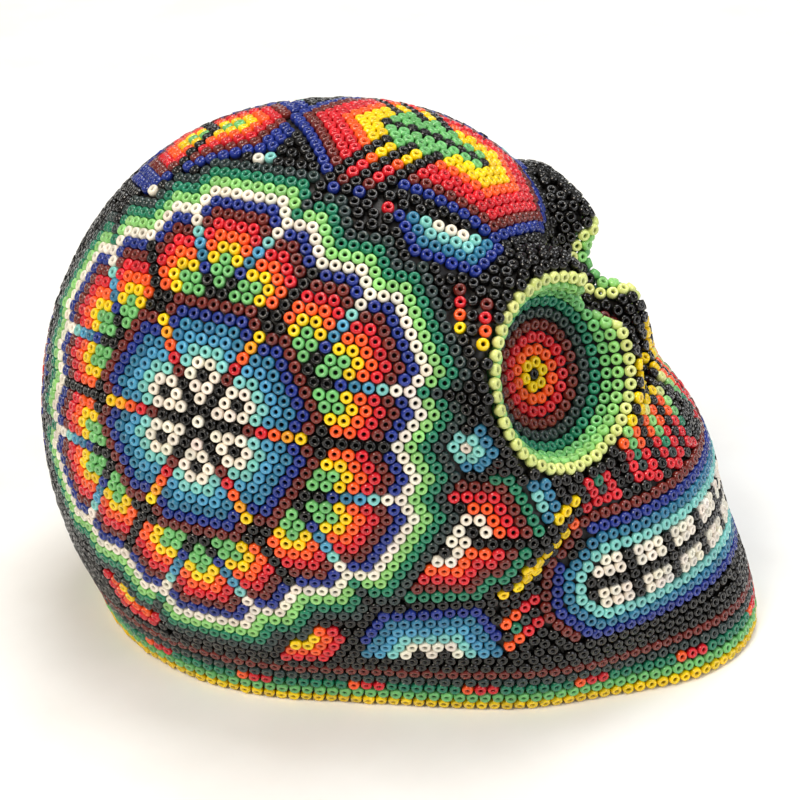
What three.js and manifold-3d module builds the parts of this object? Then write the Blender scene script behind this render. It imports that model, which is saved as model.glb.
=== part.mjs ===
// A beaded skull: a hollow cast skull without a lower jaw, coated with wax, with glass seed beads
// pressed into the wax in colour fields. The face looks along +X, the left side is +Y, up is +Z,
// and the flat foot stands on z = 0 under the middle of the outline. All sizes are in millimetres.
import * as THREE from 'three';
import Module from 'manifold-3d';

const wasm = await Module();
wasm.setup();

// ---- driving dimensions -------------------------------------------------------------------------

const LENGTH = 116;          // wax form, front to back
const WIDTH = 80;            // wax form, side to side
const HEIGHT = 85;           // wax form, foot to crown
const CASTING_WALL = 5;      // cast wall at the back and sides
const FACE_WALL = 13;        // cast wall behind the sockets and the mouth
const WAX_THICKNESS = 0.9;   // wax between the casting and the beads
const BEAD_SIZE = 2;         // outside diameter of one bead
const BEAD_LAYER = 1.4;      // height of a bead standing in the wax
const BEAD_SEAT = 0.3;       // gap between neighbouring pieces
const EYE_RADIUS = 15;       // middle of the raised rim round a socket
const EYE_RIM_ROUND = 2.4;   // half thickness of that rim
const EYE_DEPTH = 6;         // socket floor below the rim
const NOSE_LENGTH = 17;      // nose opening, along the face
const NOSE_WIDTH = 11;       // nose opening, across the face
const FOOT_FLARE = 1.2;      // how far the foot stands out
const MOUTH_LOW = 14;        // underside of the mouth panel
const MOUTH_HIGH = 31;       // top of the mouth panel
const TOOTH_ROWS = 2;        // rows of beads in one row of teeth

const ROUND_STEPS = 30;      // facets round the form
const UP_STEPS = 11;         // facets from the crown to the foot

// ---- the form -----------------------------------------------------------------------------------

const SPINE = new THREE.Vector3(0, 0, 0.39 * HEIGHT);   // the point the whole form is seen from
const CRANIUM = { x: -0.125, z: 0.387, rx: 0.378, ry: 0.494, rz: 0.605 };
const BROW = { x: -0.008, z: 0.5, rx: 0.24, ry: 0.44, rz: 0.445 };
const JAW = { x: 0.127, z: 0.22, rx: 0.313, ry: 0.412, rz: 0.41 };
const MOUTH = { x: 0.296, z: 0.035, rx: 0.197, ry: 0.255, rz: 0.275 };

const radians = (degrees) => degrees * Math.PI / 180;

// A unit vector from a turn about +Z and a lift above the foot plane, both in degrees.
function heading(turn, lift) {
  const flat = Math.cos(radians(lift));
  const x = Math.cos(radians(turn)) * flat;
  const y = Math.sin(radians(turn)) * flat;
  return new THREE.Vector3(x, y, Math.sin(radians(lift)));
}

// A place on the skull, given as shares of its length, width and height.
const place = (x, y, z) => new THREE.Vector3(x * LENGTH, y * WIDTH, z * HEIGHT);

const EYE = place(0.2155, 0.229, 0.645);
const EYE_AIM = heading(34, 22);
const NOSE = place(0.3, 0, 0.565);
const NOSE_AIM = heading(0, 27);
const CHEEK = place(0.158, 0.325, 0.4);
const BRIDGE = place(0.328, 0, 0.8);         // the dip between the brow and the nose
const FOLD_TOP = place(0.301, 0.372, 0.447); // the groove behind the mouth
const FOLD_LOW = place(0.218, 0.46, 0.256);
const FOLD_ROUND = 4.5;

function ellipsoid(p, x, y, z, rx, ry, rz) {
  const qx = (p.x - x) / rx;
  const qy = (p.y - y) / ry;
  const qz = (p.z - z) / rz;
  const k0 = Math.hypot(qx, qy, qz);
  const k1 = Math.hypot(qx / rx, qy / ry, qz / rz) + 1e-9;
  return k0 * (k0 - 1) / k1;
}

function lobe(p, { x, z, rx, ry, rz }) {
  return ellipsoid(p, x * LENGTH, 0, z * HEIGHT, rx * LENGTH, ry * WIDTH, rz * HEIGHT);
}

function blend(a, b, round) {
  const h = THREE.MathUtils.clamp(0.5 + 0.5 * (b - a) / round, 0, 1);
  return b + (a - b) * h - round * h * (1 - h);
}

const hollow = (a, b, round) => -blend(-a, b, round);

// The skull's mass without sockets and nose: the cranium, the brow, the upper jaw and the mouth.
function plainForm(p) {
  const head = blend(lobe(p, CRANIUM), lobe(p, BROW), 12);
  return blend(blend(head, lobe(p, JAW), 10), lobe(p, MOUTH), 5);
}

// How far a point lies outside the wax surface, in millimetres, and less than 0 inside it.
function form(point) {
  const p = new THREE.Vector3(point.x, Math.hypot(point.y, 0.5), point.z);
  let f = plainForm(p);
  f = blend(f, ellipsoid(p, CHEEK.x, CHEEK.y, CHEEK.z, 12, 9, 8), 6);
  const nearest = new THREE.Line3(FOLD_TOP, FOLD_LOW).closestPointToPoint(p, true, new THREE.Vector3());
  f = hollow(f, nearest.distanceTo(p) - FOLD_ROUND, 3);
  const toEye = p.clone().sub(EYE);
  const rise = toEye.dot(EYE_AIM);
  const reach = toEye.addScaledVector(EYE_AIM, -rise).length();
  f = blend(f, Math.hypot(reach - EYE_RADIUS, rise) - EYE_RIM_ROUND, 4);
  const bowl = Math.hypot(reach / (EYE_RADIUS + 0.4), (rise - 1.5) / EYE_DEPTH) - 1;
  f = hollow(f, bowl * EYE_DEPTH, 2);
  f = hollow(f, ellipsoid(p, BRIDGE.x, 0, BRIDGE.z, 17, 10, 13.5), 4);
  const toNose = p.clone().sub(NOSE);
  const up = heading(180, 60).dot(toNose);
  const out = NOSE_AIM.dot(toNose);
  const half = THREE.MathUtils.clamp(NOSE_WIDTH / 2 - 0.16 * up, 2.5, NOSE_WIDTH);
  const slit = Math.hypot(up / (NOSE_LENGTH / 2), p.y / half, out / 4.5) - 1;
  f = hollow(f, slit * 4, 1.5);
  return f - FOOT_FLARE * Math.exp(-((Math.max(point.z, 0) / 5) ** 2));
}

// How far to go from `from` along `direction` until `distance` first rises above `level`.
function reachTo(distance, from, direction, level) {
  const at = new THREE.Vector3();
  const value = (r) => distance(at.copy(direction).multiplyScalar(r).add(from)) - level;
  let near = 3;
  while (value(near + 0.5) < 0) near += 0.5;
  let far = near + 0.5;
  for (let i = 0; i < 24; i += 1) {
    const middle = (near + far) / 2;
    if (value(middle) < 0) near = middle;
    else far = middle;
  }
  return (near + far) / 2;
}

// ---- solids -------------------------------------------------------------------------------------

function solidOf(positions, triangles) {
  const mesh = new wasm.Mesh({
    numProp: 3,
    vertProperties: new Float32Array(positions),
    triVerts: new Uint32Array(triangles),
  });
  mesh.merge();
  return new wasm.Manifold(mesh);
}

function solidFrom(geometry) {
  const source = geometry.index ? geometry.toNonIndexed() : geometry;
  const positions = Array.from(source.attributes.position.array);
  return solidOf(positions, positions.map((_, i) => i).slice(0, positions.length / 3));
}

function geometryOf(solid) {
  const mesh = solid.getMesh();
  const geometry = new THREE.BufferGeometry();
  geometry.setAttribute('position', new THREE.BufferAttribute(new Float32Array(mesh.vertProperties), 3));
  geometry.setIndex(new THREE.BufferAttribute(new Uint32Array(mesh.triVerts), 1));
  geometry.computeVertexNormals();
  return geometry;
}

function block(low, high) {
  const box = new THREE.BoxGeometry(high[0] - low[0], high[1] - low[1], high[2] - low[2]);
  box.translate((low[0] + high[0]) / 2, (low[1] + high[1]) / 2, (low[2] + high[2]) / 2);
  return solidFrom(box);
}

const FAR = 2 * LENGTH;
const BELOW = 14;            // how far the form runs on below the foot before it is cut off

// The directions of the facets: closer together round the face, and with one row at the foot.
const turns = Array.from({ length: ROUND_STEPS }, (_, i) => {
  const even = 2 * Math.PI * i / ROUND_STEPS;
  return even - 0.35 * Math.sin(even);
});
const directions = turns.map((turn) => {
  const level = new THREE.Vector3(Math.cos(turn), Math.sin(turn), 0);
  const foot = reachTo(form, new THREE.Vector3(0, 0, 0), level, 0);
  const lowest = Math.PI / 2 + Math.atan2(SPINE.z, foot);
  const last = Math.PI / 2 + Math.atan2(SPINE.z + BELOW, foot);
  return Array.from({ length: UP_STEPS }, (_, j) => {
    const fall = j === UP_STEPS - 1 ? last : lowest * (j + 1) / (UP_STEPS - 1);
    return new THREE.Vector3(Math.sin(fall) * level.x, Math.sin(fall) * level.y, Math.cos(fall));
  });
});

// The radius of the form along a direction, `level` outside the wax surface.
const skin = (level) => (direction) => reachTo(form, SPINE, direction, level);

// The radius of the hollow: the plain mass less the wall, which is thicker behind the face.
function hollowReach(direction) {
  const reach = reachTo(plainForm, SPINE, direction, 0);
  const face = THREE.MathUtils.smoothstep(SPINE.x + direction.x * reach, 0, 0.3 * LENGTH);
  return reach - WAX_THICKNESS - CASTING_WALL - (FACE_WALL - CASTING_WALL) * face;
}

// The body whose surface lies at a given radius along each direction, closed below the foot.
function bodyWithin(radius) {
  const positions = [];
  const put = (direction) => {
    const r = radius(direction);
    positions.push(SPINE.x + direction.x * r, SPINE.y + direction.y * r, SPINE.z + direction.z * r);
  };
  put(new THREE.Vector3(0, 0, 1));
  for (let j = 0; j < UP_STEPS; j += 1) {
    for (let i = 0; i < ROUND_STEPS; i += 1) put(directions[i][j]);
  }
  positions.push(SPINE.x, SPINE.y, -BELOW);
  const bottom = positions.length / 3 - 1;
  const at = (i, j) => 1 + j * ROUND_STEPS + (i % ROUND_STEPS);
  const triangles = [];
  for (let i = 0; i < ROUND_STEPS; i += 1) {
    triangles.push(0, at(i, 0), at(i + 1, 0));
    for (let j = 0; j < UP_STEPS - 1; j += 1) {
      triangles.push(at(i, j), at(i, j + 1), at(i + 1, j + 1));
      triangles.push(at(i, j), at(i + 1, j + 1), at(i + 1, j));
    }
    triangles.push(at(i, UP_STEPS - 1), bottom, at(i + 1, UP_STEPS - 1));
  }
  return solidOf(positions, triangles);
}

const aboveFoot = (height) => block([-FAR, -FAR, height], [FAR, FAR, FAR]);

// A straight cutter: an outline drawn across an aim direction, run `deep` in and `high` out.
function cutter(outline, centre, aim, deep, high) {
  const shape = new THREE.Shape(outline.map(([u, v]) => new THREE.Vector2(u, v)));
  const geometry = new THREE.ExtrudeGeometry(shape, { depth: deep + high, bevelEnabled: false, steps: 1 });
  geometry.translate(0, 0, -deep);
  const across = new THREE.Vector3(0, 0, 1).cross(aim).normalize();
  const upward = aim.clone().cross(across);
  geometry.applyMatrix4(new THREE.Matrix4().makeBasis(across, upward, aim).setPosition(centre));
  return solidFrom(geometry);
}

// ---- outlines, each with a `grow` that widens it on all sides -----------------------------------

function polygon(corners, radius, start = 0) {
  return (grow = 0) => Array.from({ length: corners }, (_, i) => {
    const turn = radians(start) + 2 * Math.PI * i / corners;
    const r = radius + grow / Math.cos(Math.PI / corners);
    return [r * Math.cos(turn), r * Math.sin(turn)];
  });
}

// A flower's edge: rounded lobes, each a high point between two low ones.
function scallops(count, tip, dip) {
  return (grow = 0) => Array.from({ length: 2 * count }, (_, i) => {
    const turn = Math.PI * i / count;
    const r = (i % 2 ? tip : dip) + grow / Math.cos(Math.PI / count / 2);
    return [r * Math.cos(turn), r * Math.sin(turn)];
  });
}

function slab(left, right, low, high) {
  return (grow = 0) => [
    [left - grow, low - grow],
    [right + grow, low - grow],
    [right + grow, high + grow],
    [left - grow, high + grow],
  ];
}

function wedge(points) {
  const middle = (axis) => points.reduce((sum, point) => sum + point[axis], 0) / points.length;
  const [x, y] = [middle(0), middle(1)];
  return (grow = 0) => points.map(([u, v]) => {
    const wide = 1 + 1.6 * grow / Math.hypot(u - x, v - y);
    return [x + (u - x) * wide, y + (v - y) * wide];
  });
}

// ---- casting, wax and the blank bead layer ------------------------------------------------------

const waxInside = -WAX_THICKNESS;
const casting = bodyWithin(skin(waxInside - BEAD_SEAT))
  .intersect(aboveFoot(0))
  .subtract(bodyWithin(hollowReach));
const waxCoat = bodyWithin(skin(0))
  .subtract(bodyWithin(skin(waxInside)))
  .intersect(aboveFoot(BEAD_SEAT));
let beads = bodyWithin(skin(BEAD_SEAT + BEAD_LAYER))
  .subtract(bodyWithin(skin(BEAD_SEAT)))
  .intersect(aboveFoot(BEAD_SEAT));

// ---- cutting the bead layer into its colour fields ----------------------------------------------

const COLOURS = {
  ivory: '#efe6d5', black: '#15120f', green: '#6db86b', darkGreen: '#1f7a5a', paleGreen: '#d5de86',
  yellow: '#f5ce05', orange: '#fa5a1e', red: '#d31f2a', brown: '#7c2e26', navy: '#22348c',
  blue: '#2f7596', teal: '#7cc7c0', slate: '#2b3a38', wax: '#2a1d12', resin: '#8f8574',
};

const model = new THREE.Group();

function addPiece(name, solid, colour, roughness = 0.25) {
  const material = new THREE.MeshStandardMaterial({ color: COLOURS[colour], roughness, metalness: 0 });
  const mesh = new THREE.Mesh(geometryOf(solid), material);
  mesh.name = name;
  model.add(mesh);
}

// Takes one field out of the bead layer, and leaves a gap round it in what is left.
function field(name, colour, outline, centre, aim, deep, high) {
  addPiece(name, beads.intersect(cutter(outline(0), centre, aim, deep, high)), colour);
  beads = beads.subtract(cutter(outline(BEAD_SEAT), centre, aim, deep + BEAD_SEAT, high));
}

const mirrored = (vector, sign) => new THREE.Vector3(vector.x, sign * Math.abs(vector.y), vector.z);

const SIDES = [['right', -1], ['left', 1]];

addPiece('skull_casting', casting, 'resin', 0.7);
addPiece('wax_coat', waxCoat, 'wax', 0.5);

// The rim: straight rows of beads, counted up from the foot.
const RIM_COLOURS = ['yellow', 'green', 'darkGreen', 'slate', 'brown'];
RIM_COLOURS.forEach((colour, row) => {
  const top = (row + 1) * BEAD_SIZE;
  const below = block([-FAR, -FAR, -FAR], [FAR, FAR, top]);
  addPiece(`rim_row_${row + 1}`, beads.intersect(below), colour);
  beads = beads.subtract(block([-FAR, -FAR, -FAR], [FAR, FAR, top + BEAD_SEAT]));
});

// The mouth panel: two rows of teeth in a frame of rings.
const toothHeight = TOOTH_ROWS * BEAD_SIZE;
const forward = heading(0, 0);
const mouthHalf = 0.32 * WIDTH;
const mouthCentre = new THREE.Vector3(0.25 * LENGTH, 0, (MOUTH_LOW + MOUTH_HIGH) / 2);
const bite = BEAD_SIZE / 2;                 // half the black line between the rows of teeth
const mouthEdge = (grow = 0) => {
  const half = (MOUTH_HIGH - MOUTH_LOW) / 2 + grow;
  const wide = mouthHalf + 3 * BEAD_SIZE + grow;
  const corner = 0.45 * half;
  return [
    [-wide, corner], [-wide, -corner], [corner - wide, -half], [wide - corner, -half],
    [wide, -corner], [wide, corner], [wide - corner, half], [corner - wide, half],
  ];
};
const lowerTeeth = slab(-mouthHalf, mouthHalf, -bite - toothHeight, -bite);
const upperTeeth = slab(-mouthHalf, mouthHalf, bite, bite + toothHeight);
field('lower_teeth', 'ivory', lowerTeeth, mouthCentre, forward, 0, FAR);
field('upper_teeth', 'ivory', upperTeeth, mouthCentre, forward, 0, FAR);
field('mouth_frame', 'navy', mouthEdge, mouthCentre, forward, 0, FAR);

// The nose opening, narrower at its top.
const noseEdge = (grow = 0) => {
  const low = NOSE_LENGTH / 2 + grow;
  return [
    [-0.6 * NOSE_WIDTH - grow, -0.7 * low], [0, -low], [0.6 * NOSE_WIDTH + grow, -0.7 * low],
    [0.3 * NOSE_WIDTH + grow, low], [-0.3 * NOSE_WIDTH - grow, low],
  ];
};
field('nose_opening', 'red', noseEdge, NOSE, NOSE_AIM, 15, 30);

for (const [side, sign] of SIDES) {
  const eye = mirrored(EYE, sign);
  const eyeAim = mirrored(EYE_AIM, sign);
  const rings = [['floor', 'orange', 0.55 * EYE_RADIUS], ['bowl', 'green', 0.92 * EYE_RADIUS],
    ['rim', 'paleGreen', EYE_RADIUS + 0.8 * EYE_RIM_ROUND]];
  for (const [ring, colour, reach] of rings) {
    field(`${side}_eye_${ring}`, colour, polygon(12, reach, 15), eye, eyeAim, 20, 20);
  }
}

// The sizes below belong to the design, which grows and shrinks with the smallest side of the form.
const design = Math.min(LENGTH / 116, WIDTH / 80, HEIGHT / 85);
const scaled = (points, sign = 1) => points.map(([u, v]) => [sign * u * design, v * design]);

// The feathers from the cheeks down to the mouth, and the slanting stripes behind the mouth.
const lip = new THREE.Vector3(0.36 * LENGTH, 0, MOUTH_HIGH);
const middleFeather = wedge(scaled([[-5, 1], [5, 1], [4, 5.5], [-4, 5.5]]));
field('middle_feather', 'yellow', middleFeather, lip, forward, 0, FAR);
for (const [side, sign] of SIDES) {
  const cheek = mirrored(new THREE.Vector3(0.3 * LENGTH, 0.21 * WIDTH, MOUTH_HIGH), sign);
  const feathers = wedge(scaled([[-7, 1.2], [6, 1.2], [6, 9], [-5, 8]], sign));
  field(`${side}_cheek_feathers`, 'red', feathers, cheek, mirrored(heading(38, 0), sign), 6, FAR);
  const stripes = wedge(scaled([[-7, -13], [2, -13], [6, 5], [1, 8]], sign));
  field(`${side}_cheek_stripes`, 'yellow', stripes, mirrored(place(0.17, 0.4, 0.33), sign),
    mirrored(heading(78, 0), sign), 8, FAR);
}

// The large flower on each side of the cranium, with its ring-shaped borders.
const FLOWER_RINGS = [
  ['heart', 'blue', polygon(6, 20 * design, 0)],
  ['petals', 'red', scallops(18, 30 * design, 28 * design)],
  ['scallop', 'ivory', polygon(12, 33 * design, 15)],
  ['border', 'darkGreen', polygon(12, 36.5 * design, 15)],
];
for (const [side, sign] of SIDES) {
  for (const [ring, colour, outline] of FLOWER_RINGS) {
    field(`${side}_flower_${ring}`, colour, outline, mirrored(place(-0.2, 0.3, 0.58), sign),
      mirrored(heading(105, 14), sign), 5, FAR);
  }
}

// The figures on the midline: forehead, crown and back of the head.
const browCentre = place(0.01, 0, 0.5);
field('forehead_petals', 'red', polygon(6, 11.5 * design, 0), browCentre, heading(0, 75), 0, FAR);
field('forehead_border', 'navy', polygon(6, 14.5 * design, 0), browCentre, heading(0, 75), 0, FAR);
const crownCentre = place(-0.24, 0, 0.5);
const backCentre = place(-0.2, 0, 0.36);
field('crown_figure', 'orange', polygon(6, 8 * design, 0), crownCentre, heading(180, 75), 0, FAR);
field('back_figure', 'green', polygon(6, 10 * design, 0), backCentre, heading(180, 5), 0, FAR);

// Small flowers between the large ones, and half flowers that stand above the rim.
const SMALL = [
  ['temple_flower', 'teal', place(0.11, 0.42, 0.57), 4, 64, 12],
  ['cheekbone_flower', 'blue', place(0.2, 0.41, 0.465), 4.5, 64, 6],
  ['cheek_flower', 'orange', place(0.095, 0.46, 0.39), 6, 84, 0],
  ['rim_flower', 'navy', place(0.08, 0.44, 0.22), 6, 86, -8],
];
for (const [side, sign] of SIDES) {
  for (const [name, colour, centre, reach, turn, lift] of SMALL) {
    field(`${side}_${name}`, colour, polygon(8, reach * design, 22.5), mirrored(centre, sign),
      mirrored(heading(turn, lift), sign), 8, FAR);
  }
}

// What is left is the black ground, parted along the midline.
const halves = {
  right_ground: block([-FAR, -FAR, -FAR], [FAR, -BEAD_SEAT / 2, FAR]),
  left_ground: block([-FAR, BEAD_SEAT / 2, -FAR], [FAR, FAR, FAR]),
};
for (const [name, half] of Object.entries(halves)) {
  const parts = beads.intersect(half).decompose().sort((a, b) => b.volume() - a.volume());
  parts.forEach((part, i) => addPiece(i ? `${name}_${i + 1}` : name, part, 'black'));
}

// The origin is under the middle of the whole outline.
const outline = new THREE.Box3().setFromObject(model);
model.position.x = -(outline.min.x + outline.max.x) / 2;
model.updateMatrixWorld(true);

export default model;
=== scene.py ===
# %% [markdown]
# # A beaded skull
# A hollow cast skull is coated with a thin layer of dark wax, and thousands of small glass ring beads
# are pressed into the wax one by one, each with its hole facing out. The frame gives the casting and
# its size. This lesson makes the wax and every bead.

# %% Frame
import math

import bpy
import numpy as np
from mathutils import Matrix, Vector


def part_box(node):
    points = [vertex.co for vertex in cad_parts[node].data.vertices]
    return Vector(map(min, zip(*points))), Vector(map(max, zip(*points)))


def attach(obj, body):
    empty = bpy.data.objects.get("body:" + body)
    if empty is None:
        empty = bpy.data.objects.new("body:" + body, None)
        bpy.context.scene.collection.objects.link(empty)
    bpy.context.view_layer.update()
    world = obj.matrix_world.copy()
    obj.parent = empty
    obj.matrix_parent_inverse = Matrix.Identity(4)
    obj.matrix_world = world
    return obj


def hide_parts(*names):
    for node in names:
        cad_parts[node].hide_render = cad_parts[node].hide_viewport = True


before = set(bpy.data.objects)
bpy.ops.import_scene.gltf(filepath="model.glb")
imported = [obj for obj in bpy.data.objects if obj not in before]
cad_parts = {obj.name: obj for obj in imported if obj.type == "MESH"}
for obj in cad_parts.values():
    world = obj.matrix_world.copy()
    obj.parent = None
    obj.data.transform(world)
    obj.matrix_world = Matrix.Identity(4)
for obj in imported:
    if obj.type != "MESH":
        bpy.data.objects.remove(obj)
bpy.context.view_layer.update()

# %% [markdown]
# ## The form
# The skull is a blend of four egg shapes, with a raised ring and a bowl for each eye and a slit for
# the nose. One formula tells how far any point lies outside the wax, so a bead can be set on it
# anywhere. A sculpted mesh would do as well, but a formula gives exact normals for the beads.
# All design sizes are in millimetres.

# %% Driving sizes
MM = 0.001
LENGTH, WIDTH, HEIGHT = 116.0, 80.0, 85.0
EYE_RADIUS = 15.0
EYE_RIM_ROUND = 2.4
EYE_DEPTH = 6.0
NOSE_LENGTH, NOSE_WIDTH = 17.0, 11.0
FOOT_FLARE = 1.2
PITCH = 2.0
BEAD_GAP = 0.3
BEAD_LAYER = 1.4
BEAD_LEVEL = BEAD_GAP + BEAD_LAYER / 2
WAX_LEVEL = BEAD_GAP + 0.15
WAX_DEPTH = 0.85

wax_low, wax_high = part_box("wax_coat")
print("wax coat in the frame, mm", [round(v / MM, 1) for v in (*wax_low, *wax_high)])


def heading(turn, lift):
    """A unit vector from a turn about the upright and a lift, in degrees."""
    turn, lift = math.radians(turn), math.radians(lift)
    return np.array([math.cos(turn) * math.cos(lift), math.sin(turn) * math.cos(lift), math.sin(lift)])


def share(x, y, z):
    """A place given as shares of the skull's length, width and height."""
    return np.array([x * LENGTH, y * WIDTH, z * HEIGHT])


SIZE = share(1, 1, 1)
CRANIUM = share(-0.125, 0, 0.387), SIZE * (0.378, 0.494, 0.605)
BROW = share(-0.008, 0, 0.5), SIZE * (0.24, 0.44, 0.445)
JAW = share(0.127, 0, 0.22), SIZE * (0.313, 0.412, 0.41)
MOUTH = share(0.296, 0, 0.035), SIZE * (0.197, 0.255, 0.275)
CHEEK = share(0.158, 0.325, 0.4), np.array([12.0, 9.0, 8.0])
BRIDGE = share(0.328, 0, 0.8), np.array([17.0, 10.0, 13.5])
FOLD_TOP, FOLD_LOW, FOLD_ROUND = share(0.301, 0.372, 0.447), share(0.218, 0.46, 0.256), 4.5
BROW_BLEND, JAW_BLEND, MOUTH_BLEND, CHEEK_BLEND, RIM_BLEND = 12, 10, 5, 6, 4
FOLD_BLEND, BOWL_BLEND, BRIDGE_BLEND, NOSE_BLEND = 3, 2, 4, 1.5
BOWL_MARGIN, BOWL_LIFT = 0.4, 1.5
NOSE_TAPER, NOSE_NARROW, NOSE_DEPTH, NOSE_STEEP = 0.16, 2.5, 4.5, 4
FOOT_FADE = 5
MIDDLE_ROUND = 0.5
EYE, EYE_AIM = share(0.2155, 0.229, 0.645), heading(34, 22)
NOSE, NOSE_AIM = share(0.3, 0, 0.565), heading(0, 27)

# %% [markdown]
# Eggs melt into each other, and bowls are scooped out the same way. Left mirrors right, so the formula
# only uses the distance from the middle.

# %% The formula


def length_of(v):
    return np.sqrt((v * v).sum(axis=-1))


def unit(v):
    return v / np.maximum(length_of(v), 1e-9)[..., None]


def egg(p, shape):
    centre, radii = shape
    q = (p - centre) / radii
    k0 = length_of(q)
    return k0 * (k0 - 1) / (length_of(q / radii) + 1e-9)


def blend(a, b, round_over):
    h = np.clip(0.5 + 0.5 * (b - a) / round_over, 0, 1)
    return b + (a - b) * h - round_over * h * (1 - h)


def hollow(a, b, round_over):
    return -blend(-a, b, round_over)


SHIFT = 0.0


def form(points):
    """How far points (n, 3) lie outside the wax surface."""
    p = points - (SHIFT, 0, 0)
    low = np.maximum(p[:, 2], 0)
    p[:, 1] = np.hypot(p[:, 1], MIDDLE_ROUND)
    f = egg(p, CRANIUM)
    for shape, soft in ((BROW, BROW_BLEND), (JAW, JAW_BLEND), (MOUTH, MOUTH_BLEND), (CHEEK, CHEEK_BLEND)):
        f = blend(f, egg(p, shape), soft)
    along = FOLD_LOW - FOLD_TOP
    share_down = np.clip((p - FOLD_TOP) @ along / (along @ along), 0, 1)
    f = hollow(f, length_of(p - FOLD_TOP - share_down[:, None] * along) - FOLD_ROUND, FOLD_BLEND)
    to_eye = p - EYE
    rise = to_eye @ EYE_AIM
    reach = length_of(to_eye - rise[:, None] * EYE_AIM)
    f = blend(f, np.hypot(reach - EYE_RADIUS, rise) - EYE_RIM_ROUND, RIM_BLEND)
    bowl = np.hypot(reach / (EYE_RADIUS + BOWL_MARGIN), (rise - BOWL_LIFT) / EYE_DEPTH) - 1
    f = hollow(f, bowl * EYE_DEPTH, BOWL_BLEND)
    f = hollow(f, egg(p, BRIDGE), BRIDGE_BLEND)
    to_nose = p - NOSE
    up, out = to_nose @ heading(180, 60), to_nose @ NOSE_AIM
    half = np.clip(NOSE_WIDTH / 2 - NOSE_TAPER * up, NOSE_NARROW, NOSE_WIDTH)
    slit = np.sqrt((up / (NOSE_LENGTH / 2)) ** 2 + (p[:, 1] / half) ** 2 + (out / NOSE_DEPTH) ** 2) - 1
    f = hollow(f, slit * NOSE_STEEP, NOSE_BLEND)
    return f - FOOT_FLARE * np.exp(-((low / FOOT_FADE) ** 2))


PROBE_STEP = 0.05
PROBE = PROBE_STEP * np.vstack([np.eye(3), -np.eye(3)])


def slope(points):
    """The gradient of the form at each point."""
    around = (points[:, None, :] + PROBE).reshape(-1, 3)
    value = form(around).reshape(-1, 6)
    return (value[:, :3] - value[:, 3:]) / (2 * PROBE_STEP)


def facing(points):
    return unit(slope(points))


def settle(points, rounds=3):
    """Moves points onto the surface that runs through the beads' middles."""
    at = np.array(points, dtype=float)
    for _ in range(rounds):
        g = slope(at)
        step = (form(at) - BEAD_LEVEL) / np.maximum((g * g).sum(axis=1), 0.05)
        at -= np.clip(step, -3, 3)[:, None] * g
    return at


def march(start, way, distance):
    """Walks along the bead surface: each start goes `distance`, setting off towards `way`."""
    at = settle(start)
    distance = np.broadcast_to(np.asarray(distance, dtype=float), (len(at),))
    way = np.array(way, dtype=float)
    steps = max(1, math.ceil(distance.max()))
    for _ in range(steps):
        normal = facing(at)
        way = unit(way - (way * normal).sum(axis=1)[:, None] * normal)
        at = settle(at + way * (distance / steps)[:, None], rounds=1)
    return settle(at, rounds=2), way


# %% [markdown]
# ## Wax
# The wax is a skin over the casting, a little thicker between the beads, where it is pushed up. It is
# made as rays from the middle of the skull that stop at the surface, once for its outside and once for
# its inside, closed at the foot. The same rays at a coarser step made the frame's wax.

# %% Wax mesh
SPINE_HEIGHT = 0.39 * HEIGHT
ROUND, UP = 220, 110
RAY_START, RAY_STEP, HALVINGS = 3.0, 0.5, 14


def ray_reach(origin, ways, level):
    """How far along each way the form first rises to `level`, as seen from inside."""
    near = np.full(len(ways), RAY_START)
    going = np.ones(len(ways), dtype=bool)
    while going.any():
        value = form(origin[going] + ways[going] * (near[going] + RAY_STEP)[:, None])
        ahead = value < level
        index = np.flatnonzero(going)
        near[index[ahead]] += RAY_STEP
        going[index[~ahead]] = False
    far = near + RAY_STEP
    for _ in range(HALVINGS):
        middle = (near + far) / 2
        inside = form(origin + ways * middle[:, None]) < level
        near = np.where(inside, middle, near)
        far = np.where(inside, far, middle)
    return (near + far) / 2


def skin(level, foot):
    """A grid of points on the surface `level` outside the wax, from the crown to the foot."""
    turns = 2 * np.pi * np.arange(ROUND) / ROUND
    flat = np.stack([np.cos(turns), np.sin(turns), np.zeros(ROUND)], axis=1)
    base = np.tile([SHIFT, 0, foot], (ROUND, 1))
    reach = ray_reach(base, flat, level)
    lowest = np.pi / 2 + np.arctan2(SPINE_HEIGHT - foot, reach)
    falls = lowest[None, :] * (np.arange(1, UP + 1) / UP)[:, None]
    ways = np.sin(falls)[..., None] * flat[None] + np.cos(falls)[..., None] * np.array([0, 0, 1])
    ways = np.vstack([[[0, 0, 1]], ways.reshape(-1, 3)])
    middle = np.tile([SHIFT, 0, SPINE_HEIGHT], (len(ways), 1))
    return middle + ways * ray_reach(middle, ways, level)[:, None]


def skin_faces(offset, flip):
    ring = lambda j, i: offset + 1 + j * ROUND + i % ROUND
    faces = [(offset, ring(0, i), ring(0, i + 1)) for i in range(ROUND)]
    faces += [(ring(j, i), ring(j + 1, i), ring(j + 1, i + 1), ring(j, i + 1))
              for j in range(UP - 1) for i in range(ROUND)]
    return [face[::-1] for face in faces] if flip else faces


def put(name, data, place=(0, 0, 0), aim=None):
    """Puts a new object in the scene, looking at `aim` where that is given."""
    piece = bpy.data.objects.new(name, data)
    bpy.context.collection.objects.link(piece)
    piece.location = place
    if aim is not None:
        piece.rotation_euler = (Vector(aim) - Vector(place)).to_track_quat("-Z", "Y").to_euler()
    return piece


def plain_mesh(name, points, faces):
    mesh = bpy.data.meshes.new(name)
    mesh.from_pydata(np.asarray(points).tolist(), [], faces)
    mesh.validate()
    return put(name, mesh)


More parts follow.
